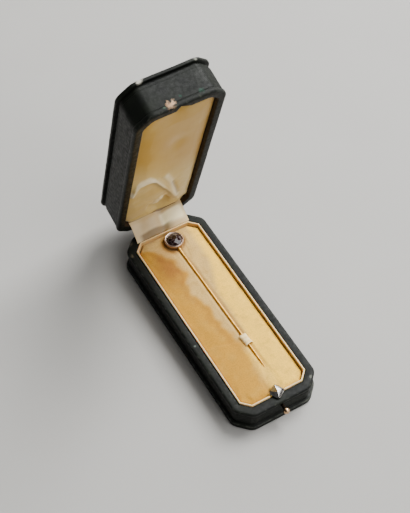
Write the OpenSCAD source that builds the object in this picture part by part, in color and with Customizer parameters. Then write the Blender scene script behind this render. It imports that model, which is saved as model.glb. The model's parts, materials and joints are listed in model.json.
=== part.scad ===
// Tie pin lying in its small leather-covered case, lid open.
// +Z is up, +Y runs to the hinge end, the origin is on the underside below the middle of the rim.

/* [Case plan] */
// Length of the cream liner rim of the lower case
rim_l = 88; // [84:0.5:92]
// Width of the cream liner rim
rim_w = 29.4; // [28:0.2:31]
// Cut across each corner of the liner rim
rim_cut = 3.5; // [3:0.1:4.5]
// Width of the leather border along the two long sides
border_side = 3.5; // [3.2:0.1:4]
// Width of the leather border at the catch end
border_end = 3.9; // [3.7:0.1:4.2]
// Width of the leather border at the hinge end
border_hinge = 4.6; // [4.2:0.1:4.8]
// Radius that rounds the outer corners
corner_r = 4; // [2:0.5:5]

/* [Lower case] */
// Height of the leather border above the table
case_h = 10.8; // [10.4:0.1:11.6]
// Height of the plinth plate
plinth_h = 2; // [1.4:0.1:2.4]
// How far the plinth plate stands out past the border
plinth_out = 0.6; // [0.2:0.1:0.8]
// Thickness of the case floor inside
floor_t = 2.2; // [1.8:0.1:2.6]
// How far the liner stands above the border
liner_proud = 0.6; // [0.3:0.1:0.7]
// Thickness of the liner wall
liner_t = 0.8; // [0.5:0.1:1]

/* [Velvet pad] */
// Height of the middle of the pad above the table
pad_top = 10.4; // [10.1:0.1:10.6]
// Gap between the pad and the liner
pad_gap = 0.3; // [0.2:0.1:0.6]
// How far the pad's edge drops below its middle
pad_crown = 0.6; // [0.3:0.1:1]

/* [Lid] */
// Depth of the closed lid from its opening to its cap
lid_depth = 14.6; // [13:0.1:16]
// Gap between the two borders when the lid is closed
lid_gap = 0.2; // [0.1:0.05:0.4]
// Angle that the lid stands open in the photograph
open_deg = 74.4; // [60:0.1:90]
// How far the cap plate stands out past the border
cap_out = 0.4; // [0.3:0.1:1]
// Thickness of the cap plate
cap_t = 1.4; // [1.2:0.1:2]
// Depth of the satin lining below the opening of the lid
lining_sink = 1.3; // [1:0.1:2]

/* [Hinge] */
// Distance of the hinge pin behind the border
hinge_back = 1.3; // [1.3:0.1:2.2]
// Drop of the hinge pin below the border
hinge_drop = 1.85; // [1.6:0.05:2]
// Outer radius of the hinge barrel
barrel_r = 1.1; // [0.9:0.05:1.15]
// Radius of the hinge pin
hinge_pin_r = 0.45; // [0.35:0.05:0.5]
// Length of the hinge barrel
barrel_l = 16; // [12:1:20]

/* [Tie pin] */
// Distance of the stone's centre to the right of the case's middle line
head_x = 1.4; // [0:0.1:2]
// Distance of the stone's centre from the case's middle
head_y = 37.9; // [36:0.1:38.3]
// Angle between the pin and the case's middle line
pin_turn = 0.8; // [0:0.1:1]
// Outer diameter of the bezel
bezel_d = 8; // [7:0.1:9]
// Height of the bezel
bezel_h = 2.7; // [2.4:0.1:2.9]
// Wall of the bezel at its rim
bezel_wall = 0.75; // [0.6:0.05:1]
// Whole length of the tie pin
pin_l = 73.2; // [66:0.2:76]
// Diameter of the shaft
shaft_d = 1; // [0.8:0.05:1.1]
// Length of the tapered point
point_l = 7; // [4:0.5:10]

/* [Catch] */
// Width of the faceted catch head across its corners
catch_w = 5.2; // [4.6:0.1:5.3]
// Distance of the catch head's middle from the front border's edge
catch_in = 4.5; // [4.4:0.1:4.9]
// Diameter of the round end of the push button
button_d = 2.6; // [2:0.1:3]
// How far the button is pushed in
button_travel = 0.8; // [0.4:0.1:0.8]

/* [Ribbon and tab] */
// Width of the satin ribbon over the hinge
ribbon_w = 24.4; // [20:0.2:24.6]
// Thickness of the satin ribbon as built
ribbon_t = 1; // [1:0.1:1.4]
// Width of the fabric tab across the pin
tab_w = 3; // [2.6:0.1:4]
// Length of the fabric tab along the pin
tab_l = 4.8; // [4:0.1:6]

/* [Hidden] */
$fn = 48;

leather = "#20261f";
cream = "#e9dfc6";
velvet = "#d9b878";
satin = "#dcc69c";
gold = "#d8b878";
silver = "#c9b9b0";
garnet = "#2c0e10";
steel = "#b9b6b2";
brass = "#b98d4c";

// Steps in the arc of each corner
ARC_STEPS = 3;
// Slack that lets one solid be cut cleanly through another
eps = 0.01;
outer_l = rim_l + border_end + border_hinge;
outer_w = rim_w + 2 * border_side;
outer_cut = rim_cut + (border_side + border_end) * (1 - sqrt(0.5));
front_y = -rim_l / 2 - border_end;
back_y = rim_l / 2 + border_hinge;
outer_y = (front_y + back_y) / 2;
slip = 0.1;
lid_slip = 0.3;

// Height of the opening of the closed lid, and the place of the hinge pin
lid_z = case_h + lid_gap;
hinge_y = back_y + hinge_back;
hinge_z = case_h - hinge_drop;
barrel_gap = 0.1;
pin_play = 0.05;

// Middle of the shaft, and the top of the liner
shaft_z = pad_top + 0.15;
liner_top = case_h + liner_proud;
bezel_z = pad_top - 0.7;
stone_r = bezel_d / 2 - bezel_wall - 0.05;
stone_z = bezel_z + 1.1;
stone_h = 2.9;
collar_r = shaft_d / 2 + 0.25;
collar_l = bezel_d / 2 + 1.2;

catch_y = front_y + catch_in;
post_w = 2;
post_y = -rim_l / 2 + slip + post_w / 2;
button_z = case_h - 2.6;
rod_r = 0.75;
rod_play = 0.2;
catch_z = lid_z;
catch_h = 2.2;

// Distance of an outline's side from the centre, by the angle of its outward normal
function support(a, l, w, cut) =
    a % 180 == 0 ? w / 2 : a % 180 == 90 ? l / 2 : (l / 2 + w / 2 - cut) / sqrt(2);

// Centre of the arc between the side at angle a and the side 45 degrees on
function arc_centre(a, l, w, cut, r) =
    let (ha = support(a, l, w, cut) - r, hb = support(a + 45, l, w, cut) - r, b = a + 45)
    [ha * sin(b) - hb * sin(a), hb * cos(a) - ha * cos(b)] / sin(45);

// Outline with cut corners, moved outwards by out, with every corner rounded by r + out
function outline(l, w, cut, r, out = 0, steps = ARC_STEPS) =
    [for (a = [0 : 45 : 315]) let (c = arc_centre(a, l, w, cut, r))
        for (i = [0 : steps]) let (t = a + 45 * i / steps) c + (r + out) * [cos(t), sin(t)]];

// Sharp eight-cornered outline
function sharp(l, w, cut) = [for (a = [0 : 45 : 315]) arc_centre(a, l, w, cut, 0)];

module slab(points, z, h) {
    translate([0, 0, z]) linear_extrude(h) polygon(points);
}

// Solid whose outline moves in and out with height: rows are [height, outward offset]
module moulded(l, w, cut, r, rows, steps = ARC_STEPS) {
    n = 8 * (steps + 1);
    m = len(rows);
    points = [for (row = rows) for (p = outline(l, w, cut, r, row[1], steps)) [p[0], p[1], row[0]]];
    sides = [for (k = [0 : m - 2]) for (i = [0 : n - 1]) let (j = (i + 1) % n)
        [k * n + i, (k + 1) * n + i, (k + 1) * n + j, k * n + j]];
    bottom = [[for (i = [0 : n - 1]) i]];
    top = [[for (i = [n - 1 : -1 : 0]) (m - 1) * n + i]];
    polyhedron(points, concat(sides, bottom, top), convexity = 4);
}

// Moves a part drawn with the stone's centre as origin and the shaft along -Y to its place on the pad
module by_pin() {
    translate([head_x, head_y, 0]) rotate([0, 0, pin_turn]) children();
}

// Turns a part of the closed lid to where the photograph shows it
module opened() {
    translate([0, hinge_y, hinge_z]) rotate([-open_deg, 0, 0]) translate([0, -hinge_y, -hinge_z])
        children();
}

// Place of a point of the closed lid, as [y, z], once the lid is open
function open_point(y, z) = let (dy = y - hinge_y, dz = z - hinge_z)
    [hinge_y + dy * cos(open_deg) + dz * sin(open_deg), hinge_z - dy * sin(open_deg) + dz * cos(open_deg)];

// Leather-covered lower case: plinth plate, cove, wall and rounded border round a well
module case_shell() {
    wall_out = -0.5;
    cove_out = -1;
    rows = [
        [plinth_h - eps, cove_out], [plinth_h + 0.6, cove_out], [plinth_h + 0.9, wall_out],
        [case_h - 2.2, wall_out], [case_h - 1.9, -0.1], [case_h - 1.4, 0], [case_h - 0.7, 0],
        [case_h - 0.2, -0.25], [case_h, -0.6]
    ];
    color(leather) difference() {
        translate([0, outer_y, 0]) {
            slab(outline(outer_l, outer_w, outer_cut, corner_r, plinth_out), 0, plinth_h);
            moulded(outer_l, outer_w, outer_cut, corner_r, rows);
        }
        slab(sharp(rim_l + 2 * slip, rim_w + 2 * slip, rim_cut), floor_t, case_h);
        translate([0, -rim_l / 2 + 1, button_z]) rotate([90, 0, 0]) cylinder(h = 10, r = rod_r + rod_play);
    }
}

// Cream rim that lines the well and stands a little above the border
module case_liner() {
    z = floor_t + slip;
    notch_w = 6.4;
    notch_z = button_z - 1.4;
    color(cream) difference() {
        slab(sharp(rim_l, rim_w, rim_cut), z, liner_top - z);
        slab(sharp(rim_l - 2 * liner_t, rim_w - 2 * liner_t, rim_cut - 0.586 * liner_t), z - 1, liner_top);
        translate([-notch_w / 2, -rim_l / 2 - 1, notch_z]) cube([notch_w, liner_t + 2, case_h]);
    }
}

// Velvet pad: crowned cushion with the pin's groove, the bezel's dent and the catch's slot
module velvet_pad() {
    inset = 2 * (liner_t + pad_gap);
    l = rim_l - inset;
    w = rim_w - inset;
    rows = [
        [floor_t + slip, 0], [pad_top - pad_crown, 0], [pad_top - 0.45 * pad_crown, -0.4],
        [pad_top - 0.15 * pad_crown, -1.2], [pad_top, -2.6]
    ];
    slot_w = post_w + 1.2;
    slot_back = post_y + post_w / 2 + button_travel + 0.4;
    color(velvet) difference() {
        moulded(l, w, rim_cut, 2.7, rows);
        by_pin() {
            translate([0, 0, shaft_z]) rotate([90, 0, 0]) {
                cylinder(h = pin_l, r = shaft_d / 2 + slip);
                cylinder(h = collar_l + slip, r = collar_r + slip);
            }
            translate([0, 0, bezel_z - slip]) cylinder(h = 5, r = bezel_d / 2 + slip);
        }
        translate([-slot_w / 2, -l, button_z - 2]) cube([slot_w, l + slot_back, 10]);
    }
}

// Fabric tab that bridges the shaft and holds the pin down
module pin_tab() {
    start = 53;
    rise = 1.35;
    half = tab_w / 2;
    profile = [[-half, 0], [half, 0], [half, 0.5], [half - 0.6, rise], [0.6 - half, rise], [-half, 0.5]];
    color(cream) by_pin() rotate([90, 0, 0]) difference() {
        translate([0, pad_top + 0.05, start]) linear_extrude(tab_l) polygon(profile);
        translate([0, shaft_z, start - 1]) cylinder(h = tab_l + 2, r = shaft_d / 2 + slip);
    }
}

// Bezel cup, collar and tapered shaft, soldered into one
module tie_pin() {
    r = bezel_d / 2;
    top = bezel_z + bezel_h;
    cup = [
        [0, bezel_z], [r - 0.7, bezel_z], [r - 0.35, bezel_z + 0.4], [r, top - 0.6], [r, top - 0.2],
        [r - 0.2, top], [r - bezel_wall + 0.15, top], [r - bezel_wall, top - 0.2],
        [r - bezel_wall, stone_z - 0.05], [0, stone_z - 0.05]
    ];
    root = r - 0.4;
    taper = pin_l - r - point_l;
    color(silver) by_pin() rotate_extrude() polygon(cup);
    color(gold) by_pin() translate([0, 0, shaft_z]) rotate([90, 0, 0]) {
        translate([0, 0, root]) cylinder(h = collar_l - root, r = collar_r);
        translate([0, 0, root]) cylinder(h = taper - root, r = shaft_d / 2);
        translate([0, 0, taper]) cylinder(h = point_l, r1 = shaft_d / 2, r2 = 0.12);
    }
}

// Round stone with an eight-sided table, star, kite and girdle facets
module stone() {
    table_r = 0.45 * stone_r;
    mid_r = 0.72 * stone_r;
    girdle_z = 1.3;
    mid_z = 0.68 * (stone_h - girdle_z) + girdle_z;
    table = [for (i = [0 : 7]) [table_r * cos(45 * i), table_r * sin(45 * i), stone_h]];
    mid = [for (i = [0 : 7]) [mid_r * cos(45 * i + 22.5), mid_r * sin(45 * i + 22.5), mid_z]];
    girdle = [for (z = [girdle_z, 0]) for (j = [0 : 15]) [stone_r * cos(22.5 * j), stone_r * sin(22.5 * j), z]];
    M = 8;
    G = 16;
    B = 32;
    stars = [for (i = [0 : 7]) [i, (i + 1) % 8, M + i]];
    kites = [for (i = [0 : 7]) for (f = [[i, M + i, G + 2 * i], [i, G + 2 * i, M + (i + 7) % 8]]) f];
    upper = [for (i = [0 : 7]) for (s = [0, 1]) [M + i, G + (2 * i + s + 1) % 16, G + (2 * i + s) % 16]];
    wall = [for (j = [0 : 15]) [G + j, G + (j + 1) % 16, B + (j + 1) % 16, B + j]];
    flats = [[for (i = [7 : -1 : 0]) i], [for (j = [0 : 15]) B + j]];
    color(garnet) by_pin() translate([0, 0, stone_z])
        polyhedron(concat(table, mid, girdle), concat(stars, kites, upper, wall, flats));
}

// One knuckle of the hinge with its bent arm: dir is -1 for the case's leaf and 1 for the lid's
module knuckle(x, length, reach, dir) {
    arm_t = 1;
    arm_w = 2 * barrel_r - 0.8;
    z = dir > 0 ? reach : -reach - arm_t;
    translate([x - length / 2, hinge_y, hinge_z]) rotate([0, 90, 0]) cylinder(h = length, r = barrel_r);
    translate([x - length / 2, hinge_y - arm_w / 2, hinge_z + (dir > 0 ? 0 : z)])
        cube([length, arm_w, reach + arm_t]);
    translate([x - length / 2, back_y - 0.25, hinge_z + z])
        cube([length, hinge_back + 0.25 + arm_w / 2, arm_t]);
}

module hinge_bore() {
    translate([-barrel_l, hinge_y, hinge_z]) rotate([0, 90, 0])
        cylinder(h = 2 * barrel_l, r = hinge_pin_r + pin_play);
}

mid_l = barrel_l * 0.36;
end_l = (barrel_l - mid_l) / 2 - barrel_gap;

// Leaf on the lower case, with a knuckle at each end
module hinge_leaf_case() {
    plate_t = 0.8;
    reach = 1.8;
    plate_z = plinth_h + 1.4;
    color(brass) difference() {
        union() {
            for (s = [-1, 1]) knuckle(s * (barrel_l - end_l) / 2, end_l, reach, -1);
            translate([-barrel_l / 2, back_y - 0.45, plate_z])
                cube([barrel_l, plate_t, hinge_z - reach - plate_z]);
        }
        hinge_bore();
    }
}

// Leaf on the lid, with the middle knuckle, opened with the lid
module hinge_leaf_lid() {
    plate_t = 0.8;
    reach = hinge_drop + lid_gap + 2.75;
    color(brass) opened() difference() {
        union() {
            knuckle(0, mid_l, reach, 1);
            translate([-barrel_l / 2, back_y - 0.3, hinge_z + reach]) cube([barrel_l, plate_t, 4.5]);
        }
        hinge_bore();
    }
}

module hinge_pin() {
    length = barrel_l + 0.6;
    color(brass) translate([-length / 2, hinge_y, hinge_z]) rotate([0, 90, 0]) cylinder(h = length, r = hinge_pin_r);
}

// Satin ribbon from behind the liner's far edge to the foot of the lid's lining
module hinge_ribbon() {
    foot = [rim_l / 2 + 0.35, case_h + 0.15];
    turn = open_point(rim_l / 2 - 0.4, lid_z - 0.3);
    crease = open_point(rim_l / 2 - 0.9, lid_z + lining_sink - 0.35);
    run = turn - foot;
    side = ribbon_t * [run[1], -run[0]] / norm(run);
    profile = [foot, foot + [ribbon_t, 0], turn, crease, crease + [-0.15, 0.5], turn - side];
    color(cream) translate([ribbon_w / 2, 0, 0]) rotate([90, 0, -90]) linear_extrude(ribbon_w)
        polygon([for (p = profile) [-p[0], p[1]]]);
}

// Steel catch post with a low pyramid on a diamond-shaped head with clipped corners
module catch_post() {
    diamond_r = 0.59 * catch_w;
    slope_r = 6.3;
    base = button_z - 1.2;
    color(steel) {
        translate([-post_w / 2, post_y - post_w / 2, base]) cube([post_w, post_w, catch_z - base + eps]);
        translate([0, catch_y, catch_z]) intersection() {
            cylinder(h = catch_h, r1 = slope_r, r2 = 0.1, $fn = 4);
            cylinder(h = catch_h, r = diamond_r, $fn = 4);
            translate([-catch_w / 2, -catch_w / 2, 0]) cube([catch_w, catch_w, catch_h]);
        }
    }
}

// Ball-ended button on the rod that reaches the catch post
module push_button() {
    ball_y = front_y - 2.8;
    rod_end = post_y - post_w / 2 - 0.02;
    color(brass) {
        translate([0, ball_y, button_z]) sphere(d = button_d);
        translate([0, rod_end, button_z]) rotate([90, 0, 0]) cylinder(h = rod_end - ball_y, r = rod_r);
    }
}

// Leather-covered lid: rounded border, wall, step, undercut groove and overhanging cap plate
module lid_shell() {
    wall_out = -0.35;
    step_out = -0.55;
    groove_out = -1.1;
    cap_z = lid_depth - cap_t;
    border = [[0, -0.6], [0.2, -0.25], [0.7, 0], [1.8, 0], [2.3, -0.15], [2.6, wall_out]];
    wall = [[cap_z - 2.4, wall_out], [cap_z - 2.3, step_out], [cap_z - 1, step_out], [cap_z - 0.9, groove_out]];
    cap = [[cap_z - 0.1, groove_out], [cap_z, cap_out - 0.3], [cap_z + 0.3, cap_out],
        [lid_depth - 0.6, cap_out], [lid_depth, cap_out - 0.6]];
    rows = [for (row = concat(border, wall, cap)) [lid_z + row[0], row[1]]];
    well = lid_depth - 2.4;
    pocket_w = catch_w + 1.4;
    pocket_y = catch_y - catch_w / 2 - 0.5;
    pocket_h = catch_z + catch_h - lid_z + 0.6;
    color(leather) opened() difference() {
        translate([0, outer_y, 0]) moulded(outer_l, outer_w, outer_cut, corner_r, rows);
        slab(sharp(rim_l + 2 * lid_slip, rim_w + 2 * lid_slip, rim_cut), lid_z - 1, well + 1);
        translate([-pocket_w / 2, pocket_y, lid_z - 1]) cube([pocket_w, 5, pocket_h + 1]);
    }
}

// Satin cushion of the lid, hollowed where the stone and the catch head meet it
module lid_lining() {
    z = lid_z + lining_sink;
    top = lid_z + lid_depth - 2.5;
    pocket_w = catch_w + 1.4;
    pocket_back = catch_y + catch_w / 2 + button_travel + 0.6;
    pocket_top = catch_z + catch_h + 0.6;
    dent_r = bezel_d / 2 + 1.7;
    dent_top = stone_z + stone_h + 0.5;
    color(satin) opened() difference() {
        slab(sharp(rim_l, rim_w, rim_cut), z, top - z);
        translate([head_x, head_y - 0.5, z - 1]) cylinder(h = dent_top - z + 1, r = dent_r);
        translate([-pocket_w / 2, -rim_l, z - 1]) cube([pocket_w, rim_l + pocket_back, pocket_top - z + 1]);
    }
}

case_shell();
case_liner();
velvet_pad();
pin_tab();
tie_pin();
stone();
hinge_leaf_case();
hinge_pin();
hinge_ribbon();
catch_post();
push_button();
lid_shell();
lid_lining();
hinge_leaf_lid();
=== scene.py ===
"""Looks of a tie pin lying in its small leather case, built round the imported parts."""

import json
import math

import bmesh
import bpy
import numpy as np
from mathutils import Matrix, Vector, noise


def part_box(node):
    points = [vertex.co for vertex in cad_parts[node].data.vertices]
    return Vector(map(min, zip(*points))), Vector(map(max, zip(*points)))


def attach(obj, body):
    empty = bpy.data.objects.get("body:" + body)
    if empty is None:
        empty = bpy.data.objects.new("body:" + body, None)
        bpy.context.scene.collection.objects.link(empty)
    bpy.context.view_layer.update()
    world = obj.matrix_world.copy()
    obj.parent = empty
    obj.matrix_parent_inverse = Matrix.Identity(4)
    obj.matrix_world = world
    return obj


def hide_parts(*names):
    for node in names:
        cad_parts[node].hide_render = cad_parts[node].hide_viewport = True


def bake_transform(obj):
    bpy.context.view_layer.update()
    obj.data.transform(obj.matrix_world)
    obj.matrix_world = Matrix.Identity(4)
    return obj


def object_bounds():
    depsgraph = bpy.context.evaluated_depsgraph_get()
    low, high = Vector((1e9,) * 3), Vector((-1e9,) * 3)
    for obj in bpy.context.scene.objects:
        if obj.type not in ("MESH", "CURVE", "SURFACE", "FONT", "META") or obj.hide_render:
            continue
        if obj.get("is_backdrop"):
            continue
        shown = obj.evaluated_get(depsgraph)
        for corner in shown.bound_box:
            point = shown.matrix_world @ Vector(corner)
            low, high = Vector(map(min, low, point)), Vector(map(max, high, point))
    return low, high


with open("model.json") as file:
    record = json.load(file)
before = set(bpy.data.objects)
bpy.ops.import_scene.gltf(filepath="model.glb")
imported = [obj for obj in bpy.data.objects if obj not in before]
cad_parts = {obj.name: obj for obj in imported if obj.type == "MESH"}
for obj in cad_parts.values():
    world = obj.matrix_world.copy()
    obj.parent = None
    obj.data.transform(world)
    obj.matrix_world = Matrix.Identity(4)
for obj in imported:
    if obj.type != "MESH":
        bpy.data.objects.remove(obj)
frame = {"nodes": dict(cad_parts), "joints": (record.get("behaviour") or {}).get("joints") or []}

CAD_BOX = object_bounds()

bl_info = {
    "name": "Tie Pin in Hinged Case",
    "version": (1, 0, 0),
    "blender": (4, 5, 0),
    "location": "View3D > Sidebar > Tie Pin",
    "description": "Models a tie pin with a round stone in its leather case with a satin-lined lid",
    "category": "Object",
}

MM = 0.001
# Outlines are bridged this far apart and then brought to their heights: level loops can be bridged wrongly.
ROW_SPREAD = 20 * MM
HINGE = next(j for j in frame["joints"] if j["name"] == "lid_hinge")
HINGE_AT = Vector(HINGE["pos_m"]) / MM
OPEN_ANGLE = math.radians(max(HINGE["range_deg"]))
PIN_TURN = math.radians(0.8)
CATCH_TURN = math.radians(-14)

# Sizes of four patterns in millimetres. The real ones are too fine to show, so they are drawn coarser:
# leather has a grain of about 0.3, velvet a pile of 0.1, satin ribs of 0.1 and cotton tape threads of 0.2.
PEBBLE = 0.6
PILE = 0.5
SATIN_RIBS = 2.2
TAPE_THREADS = 1.885


def box_mm(node):
    """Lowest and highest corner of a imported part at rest, in millimetres."""
    low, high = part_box(node)
    return [c / MM for c in low], [c / MM for c in high]


CASE_HIGH = box_mm("case_shell")[1]
RIM_LOW, RIM_HIGH = box_mm("case_liner")
PAD_LOW, PAD_HIGH = box_mm("velvet_pad")
PIN_LOW, PIN_HIGH = box_mm("tie_pin")
STONE_LOW, STONE_HIGH = box_mm("stone")
TAB_LOW, TAB_HIGH = box_mm("pin_tab")
CATCH_LOW, CATCH_HIGH = box_mm("catch_post")
BUTTON_LOW, BUTTON_HIGH = box_mm("push_button")

HEAD_X = (STONE_LOW[0] + STONE_HIGH[0]) / 2
HEAD_Y = (STONE_LOW[1] + STONE_HIGH[1]) / 2
HEAD_R = PIN_HIGH[1] - HEAD_Y
STONE_R = (STONE_HIGH[0] - STONE_LOW[0]) / 2
CATCH_Y = CATCH_LOW[1] + CATCH_HIGH[0]


def colour(code):
    """Linear colour of an sRGB hex value."""
    parts = [int(code[i : i + 2], 16) / 255 for i in (1, 3, 5)]
    return (*[c / 12.92 if c <= 0.04045 else ((c + 0.055) / 1.055) ** 2.4 for c in parts], 1.0)


def length(name, about, millimetres):
    """A length property in metres, given in millimetres."""
    return bpy.props.FloatProperty(
        name=name, description=about, default=millimetres * MM, unit="LENGTH", precision=5
    )


def tint(name, about, code):
    """A colour property, given as an sRGB hex value."""
    return bpy.props.FloatVectorProperty(
        name=name, description=about, default=colour(code), size=4, subtype="COLOR", min=0, max=1
    )


class CaseSizes(bpy.types.PropertyGroup):
    """Sizes of the case and its lid."""

    border_side: length("Side border", "Width of the leather border along the rim", 3.5)
    border_front: length("Front border", "Width of the leather border at the catch", 3.9)
    border_back: length("Hinge border", "Width of the leather border at the hinge", 4.6)
    corner_cut: length("Corner cut", "Cut across each corner of the ivory rim", 3.5)
    corner_round: length("Corner round", "Radius that rounds the outer corners of the leather", 4.0)
    rim_wall: length("Rim wall", "Thickness of the ivory rim", 0.7)
    lid_depth: length("Lid depth", "Depth of the lid from its opening to its cap", 14.6)
    lid_gap: length("Lid gap", "Gap between the borders when the lid is closed", 0.2)
    cap_out: length("Cap overhang", "How far the cap plate stands out past the border", 0.4)
    cap_thick: length("Cap thickness", "Thickness of the cap plate", 1.4)
    lining_sink: length("Lining sink", "Depth of the satin below the lid's opening", 1.3)
    satin_folds: length("Satin folds", "Height of the soft folds in the lid's satin", 1.1)


class FinishColours(bpy.types.PropertyGroup):
    """Colours of the case and the pin."""

    leather: tint("Leather", "Green-black leather", "#0a0d0a")
    leather_worn: tint("Worn leather", "Leather rubbed pale at its edges", "#6d7064")
    ivory: tint("Ivory", "Rim of the lower case", "#eecd92")
    velvet: tint("Velvet", "Pile of the pad", "#bf8a22")
    velvet_pale: tint("Pale velvet", "Pile brushed flat along the pin", "#cda862")
    # Partly the pile's lean and partly a painted sheen: the velvet right of the pin is painted lighter.
    velvet_raised_sheen: tint("Raised velvet", "Pile that leans towards the light", "#ffcc48")
    satin: tint("Satin", "Lining of the lid", "#b98f30")
    satin_pale: tint("Pale satin", "Satin near the hinge", "#d9c07c")
    gold: tint("Gold", "Shaft of the pin", "#d9ac5a")
    bezel: tint("Bezel", "Rose-silver of the bezel", "#ccb4a4")
    stone: tint("Stone", "Dark brown-red of the stone", "#240d0e")
    steel: tint("Steel", "Head of the catch", "#dad6d0")
    brass: tint("Brass", "Hinge behind the ribbon", "#b0925a")
    button: tint("Button", "Lacquered ball of the push button", "#cdab86")


def deselect():
    """Leaves nothing selected, in object mode."""
    if bpy.context.mode != "OBJECT":
        bpy.ops.object.mode_set(mode="OBJECT")
    bpy.ops.object.select_all(action="DESELECT")


def activate(piece):
    """Makes this piece the active one and the only one selected."""
    deselect()
    bpy.context.view_layer.objects.active = piece
    piece.select_set(True)


def named(name):
    """Gives its name to the object that was just added."""
    piece = bpy.context.object
    piece.name = piece.data.name = name
    return piece


def empty_mesh(name):
    """A new mesh object at the origin, open in edit mode."""
    deselect()
    bpy.ops.object.add(type="MESH", location=(0, 0, 0))
    piece = named(name)
    bpy.ops.object.mode_set(mode="EDIT")
    bpy.ops.mesh.select_mode(type="VERT")
    return piece


def grid(name, columns, rows):
    """A flat grid of this many cells each way, which reaches from -1 to 1 metre."""
    deselect()
    bpy.ops.mesh.primitive_grid_add(x_subdivisions=columns, y_subdivisions=rows, size=2)
    return named(name)


def block(size, centre):
    """A box of this size round this centre, in millimetres."""
    deselect()
    bpy.ops.mesh.primitive_cube_add(size=1)
    piece = bpy.context.object
    piece.data.transform(Matrix.Diagonal((*[side * MM for side in size], 1)))
    piece.data.transform(Matrix.Translation([c * MM for c in centre]))
    return piece


def select_where(piece, test, kind="verts"):
    """Selects the vertices or edges for which test is true, in edit mode."""
    bpy.ops.mesh.select_all(action="DESELECT")
    mesh = bmesh.from_edit_mesh(piece.data)
    for part in getattr(mesh, kind):
        if test(part):
            part.select_set(True)
    mesh.select_flush_mode()
    bmesh.update_edit_mesh(piece.data)


def octagon(half_width, front, back, cut, radius, steps):
    """Adds one flat outline with cut and rounded corners to the mesh in edit mode, at height 0."""
    bpy.ops.mesh.primitive_plane_add(size=2)
    bpy.ops.transform.resize(value=(half_width * MM, (front + back) / 2 * MM, 1), center_override=(0, 0, 0))
    bpy.ops.transform.translate(value=(0, (back - front) / 2 * MM, 0))
    bpy.ops.mesh.bevel(offset=cut * MM, affect="VERTICES", clamp_overlap=False)
    slide = radius * math.tan(math.pi / 8) * MM
    bpy.ops.mesh.bevel(offset=slide, segments=steps, affect="VERTICES", clamp_overlap=False)


def stacked(name, rows, draw, closed=False):
    """Bridges one outline per row into a solid. Rows are (height, value), and draw(value) adds an outline."""
    piece = empty_mesh(name)
    for number, row in enumerate(rows):
        draw(row[1])
        bpy.ops.transform.translate(value=(0, 0, number * ROW_SPREAD))
        mesh = bmesh.from_edit_mesh(piece.data)
        layer = mesh.verts.layers.int.get("row") or mesh.verts.layers.int.new("row")
        for vert in mesh.verts:
            if vert.select:
                vert[layer] = number
        bmesh.update_edit_mesh(piece.data)
    bpy.ops.mesh.select_all(action="SELECT")
    bpy.ops.mesh.delete(type="ONLY_FACE")
    last = len(rows) - 1
    pairs = [(i, i + 1) for i in range(last)] + ([(last, 0)] if closed else [])
    for pair in pairs:
        layer = bmesh.from_edit_mesh(piece.data).verts.layers.int["row"]
        select_where(piece, lambda vert: vert[layer] in pair)
        bpy.ops.mesh.bridge_edge_loops()
    ends = () if closed else (0, last)
    for end in ends:
        layer = bmesh.from_edit_mesh(piece.data).verts.layers.int["row"]
        select_where(piece, lambda vert: vert[layer] == end)
        bpy.ops.mesh.edge_face_add()
    mesh = bmesh.from_edit_mesh(piece.data)
    layer = mesh.verts.layers.int["row"]
    for vert in mesh.verts:
        vert.co.z = rows[vert[layer]][0] * MM
    bmesh.update_edit_mesh(piece.data)
    bpy.ops.mesh.select_all(action="SELECT")
    bpy.ops.mesh.normals_make_consistent(inside=False)
    bpy.ops.object.mode_set(mode="OBJECT")
    return piece


def moulding(name, rows, outline, radius, steps=5, closed=False):
    """A solid whose outline moves out by each row's value, or by its (side, front, back, radius)."""
    half_width, front, back, cut = outline

    def draw(out):
        """Adds the outline of one row, never with a corner sharper than 0.15 mm."""
        side, near, far, arc = out if isinstance(out, tuple) else (out, out, out, radius + out)
        corner = cut + (1 - math.sqrt(0.5)) * (side + near)
        octagon(half_width + side, front + near, back + far, corner, max(arc, 0.15), steps)

    return stacked(name, rows, draw, closed=closed)


def case_outline(sizes):
    """Half width, front, back and corner cut of the leather border, in millimetres."""
    side, front, back = [width / MM for width in (sizes.border_side, sizes.border_front, sizes.border_back)]
    cut = sizes.corner_cut / MM + (1 - math.sqrt(0.5)) * (side + front)
    return RIM_HIGH[0] + side, RIM_HIGH[1] + front, RIM_HIGH[1] + back, cut


def round_rim(sizes, out, radius):
    """Row value of an outline that lies this far outside the ivory rim."""
    widths = (sizes.border_side, sizes.border_front, sizes.border_back)
    return (*[out - width / MM for width in widths], radius)


def on_pad(piece, z=0.0):
    """Turns a piece drawn round the stone's centre in line with the pin, and lays it on the pad."""
    place = Matrix.Translation((HEAD_X * MM, HEAD_Y * MM, z * MM)) @ Matrix.Rotation(PIN_TURN, 4, "Z")
    piece.data.transform(place)


def along_pin(points):
    """How far each point lies beside the pin, to its right, and past the stone's centre, in millimetres."""
    x, y = points[:, 0] - HEAD_X, points[:, 1] - HEAD_Y
    return x * math.cos(PIN_TURN) + y * math.sin(PIN_TURN), y * math.cos(PIN_TURN) - x * math.sin(PIN_TURN)


def turned(name, rows, segments):
    """A solid of revolution round Z: rows are (height, radius) in millimetres."""

    def draw(radius):
        """Adds the circle of one row."""
        bpy.ops.mesh.primitive_circle_add(vertices=segments, radius=radius * MM)

    return stacked(name, rows, draw)


def cross_cuts(piece):
    """Cuts the mesh every 4 mm across its length and width, so that it can bend softly."""
    activate(piece)
    bpy.ops.object.mode_set(mode="EDIT")
    for axis, reach in ((1, 42), (0, 12)):
        normal = [1.0 if i == axis else 0.0 for i in range(3)]
        for place in range(-reach, reach + 1, 4):
            bpy.ops.mesh.select_all(action="SELECT")
            bpy.ops.mesh.bisect(plane_co=[n * place * MM for n in normal], plane_no=normal)
    bpy.ops.object.mode_set(mode="OBJECT")


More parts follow.
